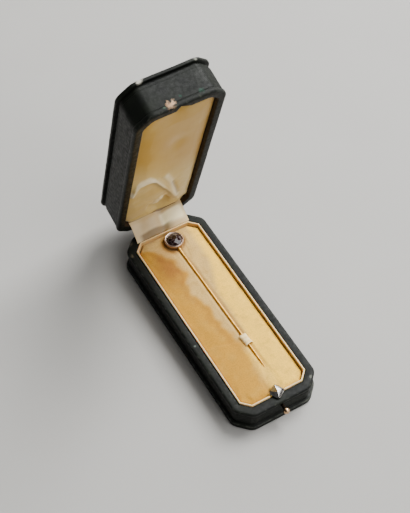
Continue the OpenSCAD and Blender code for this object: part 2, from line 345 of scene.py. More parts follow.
def points_of(piece):
    """The piece's points in millimetres."""
    flat = np.empty(len(piece.data.vertices) * 3)
    piece.data.vertices.foreach_get("co", flat)
    return flat.reshape(-1, 3) / MM


def set_points(piece, points):
    """Moves the piece's points to these places, in millimetres."""
    piece.data.vertices.foreach_set("co", (points * MM).ravel())
    piece.data.update()


def ripple(points, size, height, seed):
    """Soft unevenness of that size and height at each point."""
    offset = Vector((seed, seed * 1.7, seed * 0.6))
    return np.array([noise.noise(Vector(p) / size + offset) for p in points]) * height


def paint(piece, name, values):
    """Stores one number per point, which a material reads by name."""
    attribute = piece.data.attributes.get(name) or piece.data.attributes.new(name, "FLOAT", "POINT")
    attribute.data.foreach_set("value", np.asarray(values, dtype=np.float32))


def smoothstep(start, end, value):
    """0 up to start, 1 from end on and smooth between them; end may be below start."""
    t = np.clip((value - start) / (end - start), 0, 1)
    return t * t * (3 - 2 * t)


def hump(distance, width):
    """1 at distance 0, about a third at this distance from it and almost nothing at twice that."""
    return np.exp(-((distance / width) ** 2))


def modify(piece, kind, **settings):
    """Adds a modifier with these settings and applies it."""
    activate(piece)
    modifier = piece.modifiers.new(kind.lower(), kind)
    for name, value in settings.items():
        setattr(modifier, name, value)
    bpy.ops.object.modifier_apply(modifier=modifier.name)


def combine(piece, other, operation):
    """Cuts another solid out of the piece or unites them, and removes the other one."""
    modify(piece, "BOOLEAN", operation=operation, object=other, solver="EXACT")
    bpy.data.objects.remove(other)


def finish_piece(piece, material, body, replaces, angle=40):
    """Shades a finished piece, gives it its material, and says what it rides on and what it replaces."""
    activate(piece)
    bpy.ops.object.shade_smooth_by_angle(angle=math.radians(angle))
    piece.data.materials.clear()
    piece.data.materials.append(material)
    if body:
        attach(piece, body)
    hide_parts(*replaces)


def open_lid(piece):
    """Turns a piece of the closed lid to where it stands at rest."""
    at = HINGE_AT * MM
    turn = Matrix.Translation(at) @ Matrix.Rotation(-OPEN_ANGLE, 4, "X") @ Matrix.Translation(-at)
    piece.data.transform(turn)
    piece.data.update()


def edge_distance(points, outline):
    """How far each point lies inside an outline with cut corners, in millimetres."""
    half_width, front, back, cut = outline
    half_length = (front + back) / 2
    x, y = np.abs(points[:, 0]), np.abs(points[:, 1] - (back - front) / 2)
    corner = (half_width + half_length - cut - x - y) / math.sqrt(2)
    return np.minimum(np.minimum(half_width - x, half_length - y), corner)


def curve_distance(points, curve):
    """Distance of each point, seen from above, to a line through the curve's points."""
    best = np.full(len(points), 1e9)
    for (ax, ay), (bx, by) in zip(curve, curve[1:]):
        run = np.array([bx - ax, by - ay])
        along = np.clip(((points[:, :2] - [ax, ay]) @ run) / (run @ run), 0, 1)
        gap = points[:, :2] - ([ax, ay] + along[:, None] * run)
        best = np.minimum(best, np.hypot(gap[:, 0], gap[:, 1]))
    return best


def cushion(name, half_width, half_length, cut, cell, bottom, height):
    """A closed pad: a fine sheet with cut corners at height(points), with walls down to its bottom."""
    piece = grid(name, round(2 * half_width / cell), round(2 * half_length / cell))
    bpy.ops.object.mode_set(mode="EDIT")
    bpy.ops.mesh.select_mode(type="VERT")
    bpy.ops.mesh.select_all(action="SELECT")
    bpy.ops.transform.resize(value=(half_width * MM, half_length * MM, 1), center_override=(0, 0, 0))
    for sx in (-1, 1):
        for sy in (-1, 1):
            bpy.ops.mesh.select_all(action="SELECT")
            bpy.ops.mesh.bisect(
                plane_co=(sx * half_width * MM, sy * (half_length - cut) * MM, 0),
                plane_no=(sx, sy, 0),
                clear_outer=True,
            )
    bpy.ops.object.mode_set(mode="OBJECT")
    points = points_of(piece)
    points[:, 2] = height(points)
    set_points(piece, points)
    bpy.ops.object.mode_set(mode="EDIT")
    select_where(piece, lambda edge: edge.is_boundary, "edges")
    bpy.ops.mesh.select_mode(type="EDGE")
    bpy.ops.mesh.extrude_region_move()
    mesh = bmesh.from_edit_mesh(piece.data)
    for vert in mesh.verts:
        if vert.select:
            vert.co.z = bottom * MM
    bmesh.update_edit_mesh(piece.data)
    bpy.ops.mesh.edge_face_add()
    bpy.ops.mesh.select_all(action="SELECT")
    bpy.ops.mesh.normals_make_consistent(inside=False)
    bpy.ops.object.mode_set(mode="OBJECT")
    return piece


def plump(piece, held, swell):
    """Lets the padding press the fabric out by a cloth simulation, no further than swell in millimetres.

    It runs on a copy ten times as large, because cloth of a few centimetres hardly moves.
    """
    larger, cell, frames, pressure = 10, 4.5, 20, 4.0
    piece.data.transform(Matrix.Scale(larger, 4))
    modify(piece, "REMESH", mode="VOXEL", voxel_size=cell * MM)
    before = points_of(piece)
    tied = piece.vertex_groups.new(name="tied")
    tied.add(np.flatnonzero(held(before / larger)).tolist(), 1.0, "REPLACE")
    cloth = piece.modifiers.new("padding", "CLOTH")
    cloth.settings.vertex_group_mass = tied.name
    cloth.settings.use_pressure = True
    cloth.settings.uniform_pressure_force = pressure
    cloth.settings.effector_weights.gravity = 0.0
    cloth.point_cache.frame_end = frames
    scene = bpy.context.scene
    for frame_number in range(1, frames + 1):
        scene.frame_set(frame_number)
    activate(piece)
    bpy.ops.object.modifier_apply(modifier=cloth.name)
    scene.frame_set(1)
    piece.vertex_groups.clear()
    way = (points_of(piece) - before) / larger
    far = np.linalg.norm(way, axis=1, keepdims=True)
    set_points(piece, before / larger + way * np.minimum(1, swell / np.maximum(far, 1e-6)))


def per_mm(size):
    """Texture scale at which one feature is this many millimetres across."""
    return 1 / (size * MM)


def wave_per_mm(apart):
    """Scale of a wave texture at which its bands are this many millimetres apart."""
    return 2 * math.pi / (20 * apart * MM)


def add(tree, kind, out, inputs=None, **settings):
    """Adds one node, sets its properties, fills or links its inputs, and gives one of its outputs."""
    node = tree.nodes.new("ShaderNode" + kind)
    for name, value in settings.items():
        setattr(node, name, value)
    for name, value in (inputs or {}).items():
        if isinstance(value, bpy.types.NodeSocket):
            tree.links.new(value, node.inputs[name])
        else:
            node.inputs[name].default_value = value
    return node.outputs[out]


def start_material(name, **inputs):
    """A new material with its shader's plain settings, and the place on the object that patterns follow."""
    material = bpy.data.materials.new(name)
    material.use_nodes = True
    tree = material.node_tree
    shader = tree.nodes["Principled BSDF"]
    for key, value in inputs.items():
        shader.inputs[key.replace("_", " ")].default_value = value
    return material, tree, shader, add(tree, "TexCoord", "Object")


def drive(tree, shader, **sockets):
    """Links each result to the shader's input of that name."""
    for key, socket in sockets.items():
        tree.links.new(socket, shader.inputs[key.replace("_", " ")])


def glazed_leather(colours, name, scuffs):
    """Goatskin dyed green-black and glazed, so broad soft highlights; pale grey-tan where hands rub it.

    Scuffs are (place in metres, radius in millimetres, colour, strength). The pebble is drawn coarser than
    the real grain, so that it shows.
    """
    material, tree, shader, place = start_material(name, IOR=1.36, Specular_IOR_Level=0.31)
    grain = {"Vector": place, "Scale": per_mm(PEBBLE)}
    pebble = add(tree, "TexVoronoi", "Distance", grain, feature="SMOOTH_F1")
    cloud = add(tree, "TexNoise", "Fac", {"Vector": place, "Scale": per_mm(7), "Detail": 4.0})
    scuffed = add(tree, "TexNoise", "Fac", {"Vector": place, "Scale": per_mm(1.4), "Detail": 6.0})
    dye = add(tree, "MapRange", "Result", {"Value": cloud, "From Min": 0.35, "From Max": 0.7})
    base = add(tree, "MixRGB", "Color", {"Fac": dye, "Color1": colours.leather, "Color2": colour("#12160f")})
    worn = add(tree, "Attribute", "Fac", attribute_name="wear")
    worn = add(tree, "Math", "Value", {0: worn, 1: scuffed}, operation="MULTIPLY")
    worn = add(tree, "MapRange", "Result", {"Value": worn, "From Min": 0.3, "From Max": 0.75, "To Max": 0.75})
    base = add(tree, "MixRGB", "Color", {"Fac": worn, "Color1": base, "Color2": colours.leather_worn})
    bare = add(tree, "Attribute", "Fac", attribute_name="bare")
    base = add(tree, "MixRGB", "Color", {"Fac": bare, "Color1": base, "Color2": colour("#2a1c10")})
    for centre, radius, code, strength in scuffs:
        gap = add(tree, "VectorMath", "Value", {0: place, 1: centre}, operation="DISTANCE")
        ragged = add(tree, "TexNoise", "Fac", {"Vector": place, "Scale": per_mm(1.1), "Detail": 3.0})
        ragged = add(tree, "Math", "Value", {0: ragged, 1: -0.5}, operation="ADD")
        gap = add(tree, "Math", "Value", {0: ragged, 1: radius * 2.2 * MM, 2: gap}, operation="MULTIPLY_ADD")
        edge = {"From Min": radius * MM, "From Max": 0.3 * radius * MM, "To Max": strength}
        mask = add(tree, "MapRange", "Result", {"Value": gap, **edge})
        base = add(tree, "MixRGB", "Color", {"Fac": mask, "Color1": base, "Color2": colour(code)})
    gloss = {"Value": scuffed, "From Min": 0.3, "From Max": 0.75, "To Min": 0.46, "To Max": 0.72}
    relief = add(tree, "Bump", "Normal", {"Strength": 0.35, "Distance": 0.05 * MM, "Height": pebble})
    relief = {"Strength": 0.5, "Distance": 0.08 * MM, "Height": cloud, "Normal": relief}
    gloss, relief = add(tree, "MapRange", "Result", gloss), add(tree, "Bump", "Normal", relief)
    drive(tree, shader, Base_Color=base, Roughness=gloss, Normal=relief)
    return material


def polished_ivory(colours):
    """Ivory celluloid sheet, polished: smooth, faintly yellow and a little translucent, with painted shade in
    a darker tan on its inner face.
    """
    material, tree, shader, place = start_material(
        "polished_ivory_celluloid", IOR=1.5, Roughness=0.3, Subsurface_Weight=0.15, Subsurface_Scale=0.0008
    )
    cloud = add(tree, "TexNoise", "Fac", {"Vector": place, "Scale": per_mm(6), "Detail": 3.0})
    base = add(tree, "MixRGB", "Color", {"Fac": cloud, "Color1": colours.ivory, "Color2": colour("#dcba80")})
    # Painted shade: the rim's inner face below its top is painted a darker tan.
    glued = add(tree, "Attribute", "Fac", attribute_name="glued")
    base = add(tree, "MixRGB", "Color", {"Fac": glued, "Color1": base, "Color2": colour("#c39c62")})
    drive(tree, shader, Base_Color=base)
    return material


def short_velvet(colours):
    """Silk velvet, woven with a short pile: pale where brushed flat, deep gold where the pile stands.

    The pile's flecks are drawn coarser than the real pile, so that they show.
    """
    material, tree, shader, place = start_material(
        "short_pile_velvet", IOR=1.45, Roughness=0.9, Sheen_Weight=0.22, Sheen_Roughness=0.4
    )
    cloud = add(tree, "TexNoise", "Fac", {"Vector": place, "Scale": per_mm(4.5), "Detail": 5.0})
    cloud = add(tree, "Math", "Value", {0: cloud, 1: -0.5}, operation="ADD")
    base = colours.velvet
    # The deep zone is painted shade beside the head and a painted shadow round its dent, with a darker band
    # along the brushed nap; the raised zone is partly a painted sheen.
    zones = (("raised", colours.velvet_raised_sheen), ("brushed", colours.velvet_pale), ("deep", colour("#94601c")))
    for name, far in zones:
        share = add(tree, "Attribute", "Fac", attribute_name=name)
        clouded = {0: cloud, 1: 0.55, 2: share}
        share = add(tree, "Math", "Value", clouded, operation="MULTIPLY_ADD", use_clamp=True)
        base = add(tree, "MixRGB", "Color", {"Fac": share, "Color1": base, "Color2": far})
    crushed = add(tree, "TexNoise", "Fac", {"Vector": place, "Scale": per_mm(2.4), "Detail": 4.0})
    crushed = {"Value": crushed, "From Min": 0.5, "From Max": 0.72, "To Max": 0.3}
    crushed = add(tree, "MapRange", "Result", crushed)
    base = add(tree, "MixRGB", "Color", {"Fac": crushed, "Color1": base, "Color2": colour("#a8802c")})
    pile = add(tree, "TexNoise", "Fac", {"Vector": place, "Scale": per_mm(PILE), "Detail": 3.0})
    fleck = {"Value": pile, "From Min": 0.35, "From Max": 0.65, "To Min": 0.8, "To Max": 1.0}
    fleck = {"Fac": 1.0, "Color1": base, "Color2": add(tree, "MapRange", "Result", fleck)}
    base = add(tree, "MixRGB", "Color", fleck, blend_type="MULTIPLY")
    nap = add(tree, "Bump", "Normal", {"Strength": 0.35, "Distance": 0.08 * MM, "Height": pile})
    drive(tree, shader, Base_Color=base, Normal=nap)
    return material


def silk_satin(name, near, far, deep):
    """Silk satin: its long warp floats give a broad sheen across the width; a painted highlight lies along
    the top of each fold.

    The ribs are drawn coarser than the real weave, so that they show.
    """
    material, tree, shader, place = start_material(
        name, IOR=1.5, Roughness=0.42, Sheen_Weight=0.2, Sheen_Roughness=0.35, Anisotropic=0.5
    )
    zones = ("pale", "crest", "shade")
    pale, crest, shade = [add(tree, "Attribute", "Fac", attribute_name=zone) for zone in zones]
    cloud = add(tree, "TexNoise", "Fac", {"Vector": place, "Scale": per_mm(11), "Detail": 4.0})
    blend = add(tree, "Math", "Value", {0: cloud, 1: -0.5}, operation="ADD")
    blend = add(tree, "Math", "Value", {0: blend, 1: 0.7, 2: pale}, operation="MULTIPLY_ADD", use_clamp=True)
    base = add(tree, "MixRGB", "Color", {"Fac": blend, "Color1": near, "Color2": far})
    # Painted highlight along the tops of the folds.
    crest = add(tree, "Math", "Value", {0: crest, 1: 0.8}, operation="MULTIPLY")
    base = add(tree, "MixRGB", "Color", {"Fac": crest, "Color1": base, "Color2": colour("#fdf0cc")})
    base = add(tree, "MixRGB", "Color", {"Fac": shade, "Color1": base, "Color2": deep})
    bands = {"Vector": place, "Scale": wave_per_mm(SATIN_RIBS), "Distortion": 0.6}
    weave = add(tree, "TexWave", "Fac", bands, bands_direction="X")
    rib = add(tree, "Bump", "Normal", {"Strength": 0.12, "Distance": 0.03 * MM, "Height": weave})
    drive(tree, shader, Base_Color=base, Normal=rib)
    return material


def cotton_tape():
    """Narrow woven cotton tape, off-white and matt. Its threads are drawn coarser than real ones."""
    material, tree, shader, place = start_material("cotton_tape", IOR=1.45, Roughness=0.85, Sheen_Weight=0.3)
    bands = {"Vector": place, "Scale": wave_per_mm(TAPE_THREADS), "Distortion": 1.5}
    weave = add(tree, "TexWave", "Fac", bands, bands_direction="Y")
    threads = {"Fac": weave, "Color1": colour("#edcb88"), "Color2": colour("#f8dfa4")}
    rib = add(tree, "Bump", "Normal", {"Strength": 0.4, "Distance": 0.05 * MM, "Height": weave})
    drive(tree, shader, Base_Color=add(tree, "MixRGB", "Color", threads), Normal=rib)
    return material


def metal(name, base, dull, roughness, grit=0.4):
    """Polished metal: sharp highlights, broken by faint tarnish in patches and by the fine marks of use."""
    material, tree, shader, place = start_material(name, Metallic=1.0)
    cloud = add(tree, "TexNoise", "Fac", {"Vector": place, "Scale": per_mm(grit * 3), "Detail": 4.0})
    tarnish = add(tree, "MapRange", "Result", {"Value": cloud, "From Min": 0.45, "From Max": 0.75})
    mixed = add(tree, "MixRGB", "Color", {"Fac": tarnish, "Color1": base, "Color2": dull})
    marks = add(tree, "TexNoise", "Fac", {"Vector": place, "Scale": per_mm(grit / 3), "Detail": 2.0})
    gloss = {"From Min": 0.3, "From Max": 0.7, "To Min": roughness * 0.85, "To Max": roughness * 1.2}
    gloss = add(tree, "MapRange", "Result", {"Value": marks, **gloss})
    drive(tree, shader, Base_Color=mixed, Roughness=gloss)
    return material


def cut_stone(colours):
    """Dark garnet-like stone, cut and polished: glossy facets over a red-brown depth, with painted highlights
    along the facet edges.
    """
    material, tree, shader, place = start_material(
        "polished_dark_stone", IOR=1.76, Roughness=0.04, Transmission_Weight=0.2
    )
    cloud = add(tree, "TexNoise", "Fac", {"Vector": place, "Scale": per_mm(1.6), "Detail": 2.0})
    base = add(tree, "MixRGB", "Color", {"Fac": cloud, "Color1": colours.stone, "Color2": colour("#0c0405")})
    # Painted highlight along the facet edges.
    edge = add(tree, "Attribute", "Fac", attribute_name="edge")
    base = add(tree, "MixRGB", "Color", {"Fac": edge, "Color1": base, "Color2": colour("#6e5c5a")})
    drive(tree, shader, Base_Color=base)
    return material


class TIEPIN_OT_lower_case(bpy.types.Operator):
    """Model the leather-covered lower case with its plinth, cove and rounded border"""

    bl_idname = "tiepin.lower_case"
    bl_label = "Lower case"

    def execute(self, context):
        sizes, colours = context.scene.case_sizes, context.scene.finish_colours
        outline = case_outline(sizes)
        top = CASE_HIGH[2]
        foot = CASE_HIGH[0] - outline[0]
        plinth = [(0.0, foot - 0.35), (0.12, foot - 0.08), (0.4, foot), (1.5, foot)]
        plinth += [(1.85, foot - 0.1), (2.0, foot - 0.4)]
        cove = [(2.05, -0.7), (2.2, -0.95), (2.6, -0.95), (2.85, -0.75), (2.95, -0.55), (3.2, -0.5)]
        wall = [(top - 2.25, -0.5), (top - 2.05, -0.62), (top - 1.95, -0.45), (top - 1.8, -0.18)]
        border = [(top - 1.5, -0.03), (top - 1.1, 0.0), (top - 0.75, -0.03), (top - 0.42, -0.14)]
        border += [(top - 0.18, -0.34), (top - 0.05, -0.62), (top, -1.0)]
        well = [(top, 0.6, 0.6), (top - 0.06, 0.3, 0.4), (top - 0.3, 0, 0.2), (2.4, 0, 0.2)]
        rows = plinth + cove + wall + border + [(z, round_rim(sizes, out, radius)) for z, out, radius in well]
        piece = moulding("case_leather", rows, outline, sizes.corner_round / MM)
        cross_cuts(piece)
        points = points_of(piece)
        inside = edge_distance(points, outline)
        z = points[:, 2]
        top_edge = smoothstep(top - 1.2, top - 0.3, z) * smoothstep(1.4, 0.5, inside)
        foot_edge = smoothstep(0.3, -0.1, inside) * smoothstep(1.2, 1.8, z) * smoothstep(2.3, 2.0, z)
        paint(piece, "wear", np.maximum(0.6 * top_edge, 0.8 * foot_edge))
        points[:, 2] += ripple(points, 9, 0.09, 3.0) * smoothstep(0.2, 1.2, z) * smoothstep(3.4, 2.6, inside)
        set_points(piece, points)
        scuffs = [
            ((-0.0150, 0.0455, 0.0108), 1.3, "#5e5a4c", 0.55),
            ((-0.0172, 0.0400, 0.0106), 1.0, "#6a614c", 0.5),
            ((0.0150, -0.0440, 0.0108), 0.8, "#7d8073", 0.4),
            ((-0.0165, -0.0100, 0.0110), 0.7, "#6f7a72", 0.5),
        ]
        leather = glazed_leather(colours, "glazed_leather_case", scuffs)
        finish_piece(piece, leather, "case", replaces=["case_shell"])
        return {"FINISHED"}


class TIEPIN_OT_rim(bpy.types.Operator):
    """Model the ivory rim that lines the well"""

    bl_idname = "tiepin.rim"
    bl_label = "Ivory rim"

    def execute(self, context):
        sizes, colours = context.scene.case_sizes, context.scene.finish_colours
        wall = sizes.rim_wall / MM
        foot, top = 3.0, RIM_HIGH[2]
        rows = [(foot, 0.0), (top - 0.3, 0.0), (top - 0.1, -0.06), (top, -0.22), (top, 0.25 - wall)]
        rows += [(top - 0.08, 0.08 - wall), (top - 0.3, -wall), (foot, -wall)]
        outline = (RIM_HIGH[0], RIM_HIGH[1], RIM_HIGH[1], sizes.corner_cut / MM)
        piece = moulding("ivory_rim", rows, outline, 0.5, steps=3, closed=True)
        combine(piece, block((6.4, 3, 8), (0, RIM_LOW[1], CATCH_LOW[2] + 4)), "DIFFERENCE")
        points = points_of(piece)
        # Painted shade on the rim's inner face, just below its top.
        inner_side = smoothstep(0.4 * wall, 0.9 * wall, edge_distance(points, outline))
        paint(piece, "glued", inner_side * smoothstep(top - 0.02, top - 0.12, points[:, 2]))
        finish_piece(piece, polished_ivory(colours), "case", replaces=["case_liner"])
        return {"FINISHED"}


class TIEPIN_OT_pad(bpy.types.Operator):
    """Model the velvet pad with the pin's groove, the head's dent and the slot for the catch"""

    bl_idname = "tiepin.pad"
    bl_label = "Velvet pad"

    def execute(self, context):
        colours = context.scene.finish_colours
        to_rim = 0.3
        half_width, half_length = PAD_HIGH[0] + to_rim, PAD_HIGH[1] + to_rim
        cut = context.scene.case_sizes.corner_cut / MM
        top = PAD_HIGH[2]
        fold = [(-12.6, -13.2), (-9.0, -13.9), (-5.0, -15.3), (-1.5, -16.0)]

        def height(points):
            """Height of the velvet: its round shoulders, the pin's groove and dent, a fold and the slot."""
            x, y = points[:, 0], points[:, 1]
            inside = np.clip(edge_distance(points, (half_width, half_length, half_length, cut)), 0, None)
            shoulder = np.sqrt(np.clip(1 - (1 - np.clip(inside / 0.9, 0, 1)) ** 2, 0, 1))
            z = top - 0.65 + 0.45 * shoulder + 0.2 * smoothstep(0.8, 7, inside)
            beside, past = along_pin(points)
            shaft = smoothstep(-72, -67, past) * smoothstep(-1, -4, past)
            # The shaft's groove has a low bank on each side.
            z -= (0.42 * hump(beside, 0.75) - 0.10 * hump(np.abs(beside) - 1.5, 0.6)) * shaft
            z -= 0.85 * smoothstep(HEAD_R + 1.0, HEAD_R - 0.4, np.hypot(beside, past))
            z -= 0.22 * hump(curve_distance(points, fold), 0.45)
            z += 0.10 * hump(curve_distance(points + [0, 0.9, 0], fold), 0.8)
            z -= 3.2 * smoothstep(2.2, 1.7, np.abs(x)) * smoothstep(-40.3, -41.2, y)
            return z + ripple(points, 8, 0.12, 5.0) + ripple(points, 2.2, 0.03, 9.0)

        def held(points):
            """Where the velvet is glued down: below its edge, under the pin and at the catch."""
            beside, past = along_pin(points)
            pressed = (np.abs(beside) < 1.2) | (np.hypot(beside, past) < HEAD_R + 0.8)
            slot = (np.abs(points[:, 0]) < 2.8) & (points[:, 1] < -39.0)
            return (points[:, 2] < top - 1.2) | pressed | slot

        piece = cushion("velvet_cushion", half_width, half_length, cut, 0.55, PAD_LOW[2], height)
        plump(piece, held, 0.2)
        points = points_of(piece)
        x, y = points[:, 0], points[:, 1]
        # Left edge of the brushed nap, from the catch to the hinge: (y, x).
        nap_edge = [(-43, -2.6), (-34.9, -3.1), (-28.8, -2.0), (-24.5, -0.7), (-18.1, -0.8)]
        nap_edge += [(-9.4, -2.0), (-2.7, -3.0), (3.5, -2.3), (10.5, -5.4), (17.1, -5.0), (20.7, -2.3)]
        nap_edge += [(29.8, -4.2), (34.8, -6.8), (41.1, -12.9)]
        from_edge = x - np.interp(y, *zip(*nap_edge)) - 0.4 * np.sin(y / 1.1) - ripple(points, 2.5, 0.9, 2.0)
        past_pin = x - HEAD_X - 0.02 * (y - HEAD_Y)
        low_end = smoothstep(-14, -24, y)
        to_right = 1 - smoothstep(1.5, 5.5, past_pin - 5 * smoothstep(5, 25, y))
        paint(piece, "brushed", smoothstep(-0.9, 1.9, from_edge) * to_right * (1 - 0.65 * low_end))
        # Partly the pile's lean and partly a painted sheen: the velvet right of the pin is painted lighter
        # towards the light.
        paint(piece, "raised", smoothstep(0.5 - 3 * low_end, 5.0 - 3.5 * low_end, past_pin))
        # Darker velvet: painted shade in a nook to the left of the head, a painted shadow round the head's
        # dent, and a darker band along the brushed nap's left side.
        nook = hump(x + 7.5, 4.5) * hump(y - 27, 8.5)
        nap_edge_band = 0.4 * hump(from_edge + 1.5, 1.4) * (1 - low_end)
        dent = 0.7 * smoothstep(HEAD_R + 2.6, HEAD_R, np.hypot(x - HEAD_X + 0.8, y - HEAD_Y + 0.4))
        paint(piece, "deep", nook + nap_edge_band + dent)
        finish_piece(piece, short_velvet(colours), "case", replaces=["velvet_pad"])
        return {"FINISHED"}


class TIEPIN_OT_lid(bpy.types.Operator):
    """Model the leather-covered lid with its rounded lip, waist, groove and cap plate"""

    bl_idname = "tiepin.lid"
    bl_label = "Lid"

    def execute(self, context):
        sizes, colours = context.scene.case_sizes, context.scene.finish_colours
        outline = case_outline(sizes)
        opening = CASE_HIGH[2] + sizes.lid_gap / MM
        depth, out = sizes.lid_depth / MM, sizes.cap_out / MM
        cap = depth - sizes.cap_thick / MM
        inner_round = 3.4
        well, lip_in, lip_top = [round_rim(sizes, gap, inner_round) for gap in (0.3, 0.4, 0.7)]
        rows = [(cap - 0.2, well), (0.35, well), (0.1, lip_in), (0.0, lip_top)]
        lip = [(0.0, -1.0), (0.05, -0.62), (0.2, -0.32), (0.45, -0.12), (0.8, -0.02), (1.2, 0.0)]
        lip += [(1.6, -0.03), (1.95, -0.13), (2.15, -0.28), (2.25, -0.45), (2.4, -0.38), (2.6, -0.35)]
        waist = [(cap - 2.3, -0.35), (cap - 2.22, -0.45), (cap - 2.1, -0.62), (cap - 1.9, -0.56)]
        waist += [(cap - 0.95, -0.58)]
        groove = [(cap - 0.85, -0.8), (cap - 0.8, -1.15), (cap - 0.1, -1.15), (cap, -0.95)]
        plate = [(cap, out - 0.35), (cap + 0.1, out - 0.1), (cap + 0.3, out), (depth - 0.45, out)]
        plate += [(depth - 0.25, out - 0.1), (depth - 0.08, out - 0.32), (depth, out - 0.75)]
        rows = [(opening + z, offset) for z, offset in rows + lip + waist + groove + plate]
        piece = moulding("lid_leather", rows, outline, sizes.corner_round / MM)
        cross_cuts(piece)
        points = points_of(piece)
        inside = edge_distance(points, outline)
        z = points[:, 2] - opening
        wall = sizes.border_side / MM
        rubbed_lip = smoothstep(2.2, 1.0, z) * smoothstep(1.2, 0.3, inside)
        rubbed_cap = smoothstep(0.6, -0.2, inside) * smoothstep(depth - 0.55, depth - 0.15, z)
        paint(piece, "wear", np.maximum(0.6 * rubbed_lip, rubbed_cap))
        inner_lip = smoothstep(wall - 0.45, wall - 0.3, inside) * smoothstep(0.05, 0.3, z)
        paint(piece, "bare", inner_lip * smoothstep(3.5, 2.0, z))
        points[:, 2] += ripple(points, 10, 0.12, 7.0) * smoothstep(3.0, 2.2, inside)
        set_points(piece, points)
        # The pocket in the lip clears the head of the catch when the lid is closed.
        wide, narrow, deep = CATCH_HIGH[0] + 1.6, 2.4, 2.9
        bpy.ops.mesh.primitive_cone_add(vertices=4, radius1=wide * MM, radius2=narrow * MM, depth=deep * MM)
        pocket = bpy.context.object
        pocket.data.transform(Matrix.Rotation(CATCH_TURN, 4, "Z"))
        pocket.data.transform(Matrix.Translation((0, CATCH_Y * MM, (CATCH_HIGH[2] + 0.3 - deep / 2) * MM)))
        combine(piece, pocket, "DIFFERENCE")
        open_lid(piece)

        def place(x, y, z):
            """A point of the closed lid, in metres, where it stands at rest."""
            turn = Matrix.Rotation(-OPEN_ANGLE, 3, "X")
            return tuple((turn @ (Vector((x, y, z)) - HINGE_AT) + HINGE_AT) * MM)

        scuffs = [
            (place(-4.6, -47.5, 12.8), 1.8, "#b5916f", 0.8),
            (place(-3.0, -47.5, 13.3), 1.3, "#d2ae8c", 0.75),
            (place(-6.6, -47.5, 12.6), 0.8, "#24483a", 0.6),
            (place(0.4, -47.5, 14.6), 0.7, "#24483a", 0.5),
            (place(8.2, -47.5, 13.6), 1.3, "#24483a", 0.5),
            (place(-10.2, -48.4, 24.8), 1.5, "#c2beb0", 0.8),
            (place(12.0, -48.3, 24.8), 0.9, "#8d8f83", 0.6),
        ]
        leather = glazed_leather(colours, "glazed_leather_lid", scuffs)
        finish_piece(piece, leather, "lid", replaces=["lid_shell"])
        return {"FINISHED"}


